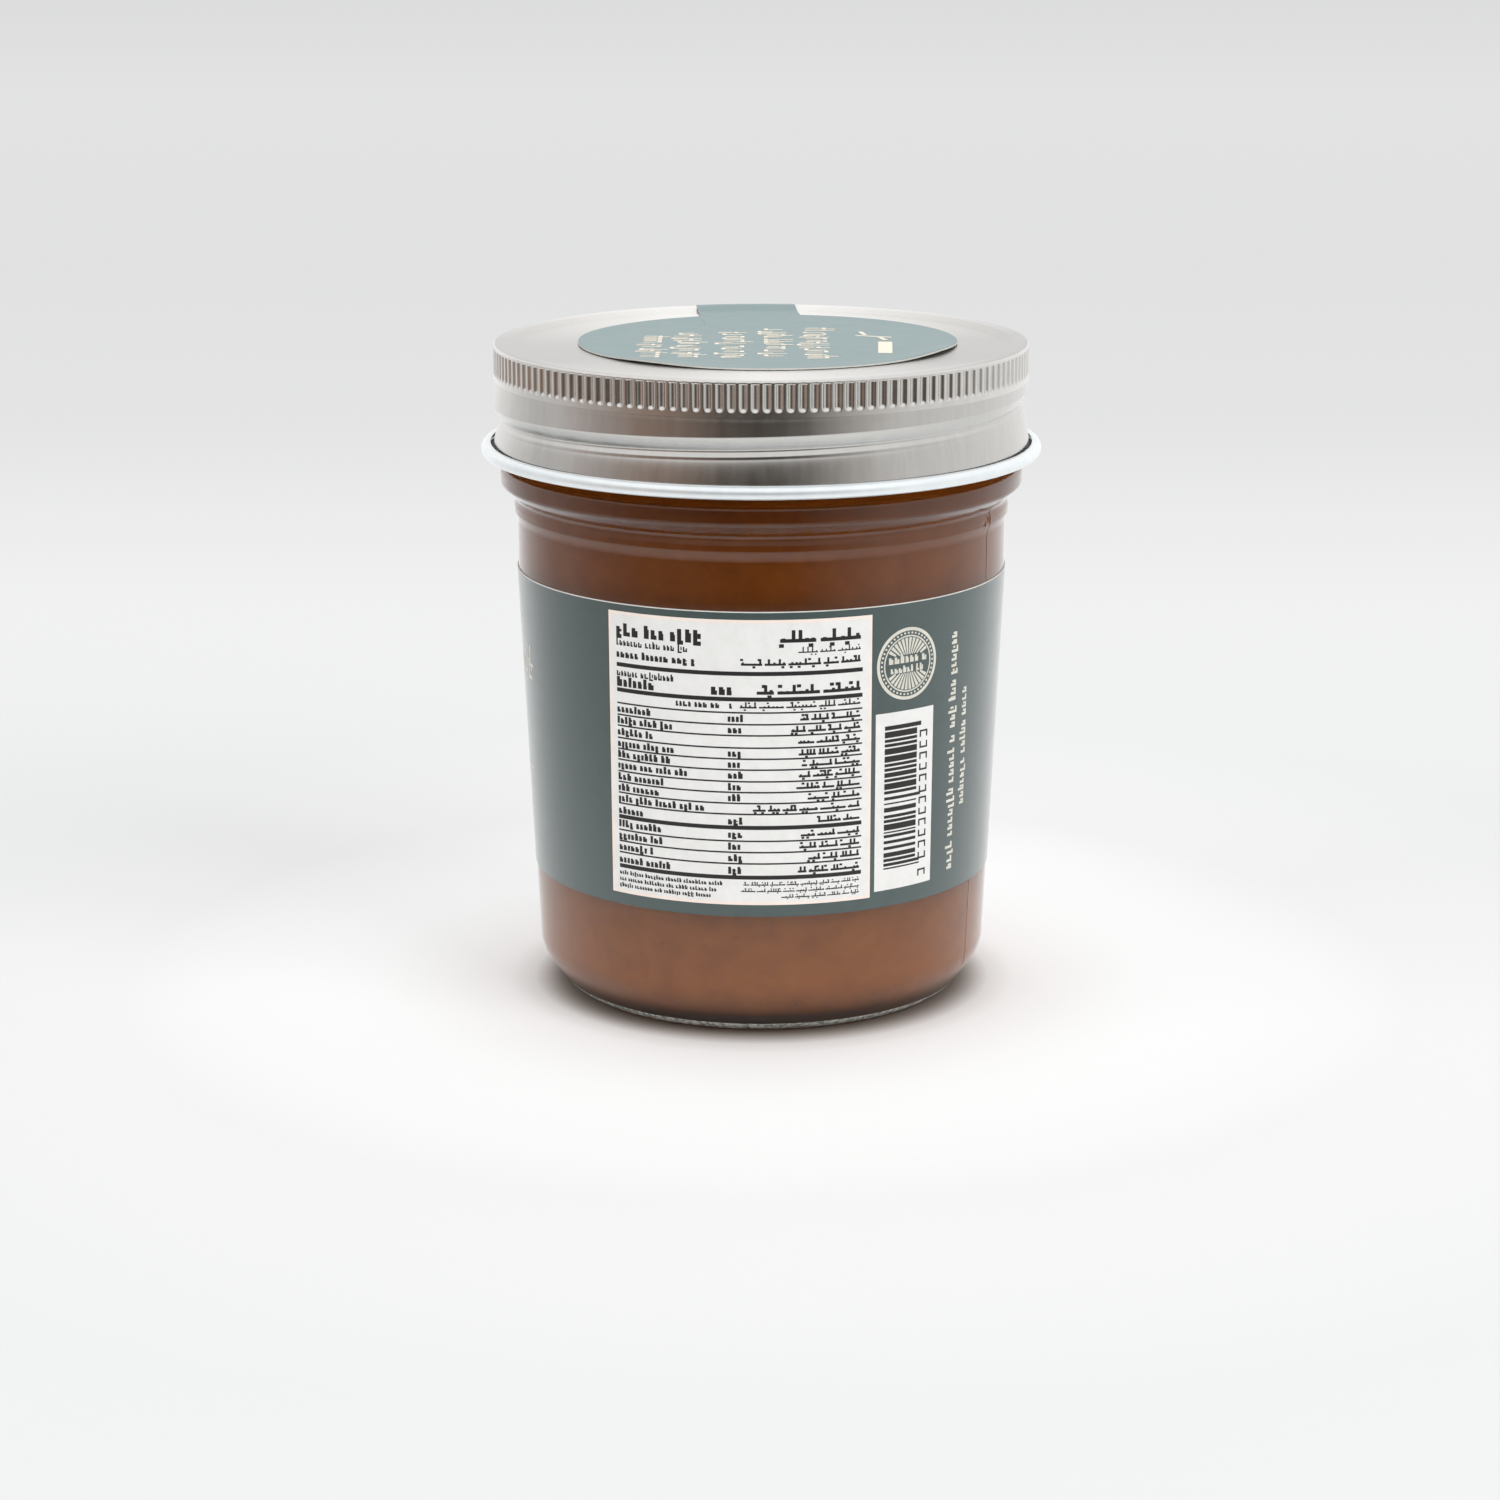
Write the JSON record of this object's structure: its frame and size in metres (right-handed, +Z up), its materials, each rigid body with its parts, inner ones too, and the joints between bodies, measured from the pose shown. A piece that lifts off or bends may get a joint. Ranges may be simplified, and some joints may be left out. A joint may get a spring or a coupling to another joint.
{
  "type": "jar of almond butter",
  "caption": "Tapered half-pint glass jar of almond butter with a knurled steel screw lid, wrap-round paper label and a round paper seal over the lid.",
  "frame": {"origin": "on the jar's axis at the height of the bearing ring, which is the centre of the bounding box's bottom", "axes": "+Z up along the jar's axis to the lid, -Y towards the front of the label, +Y towards the strip of the seal"},
  "size_m": [0.0764, 0.0765, 0.09],
  "materials": {
    "glass": "clear, smooth flint glass",
    "butter": null,
    "lid_steel": "brushed tinplate, clear lacquer, white lacquer on the curl",
    "label_paper": "uncoated matt, printed grey-teal",
    "seal_paper": "uncoated matt, printed grey-teal"
  },
  "bodies": {
    "root": {"jar_glass": "glass", "almond_butter": "butter", "lid": "lid_steel", "body_label": "label_paper", "lid_seal": "seal_paper"}
  },
  "joints": []
}
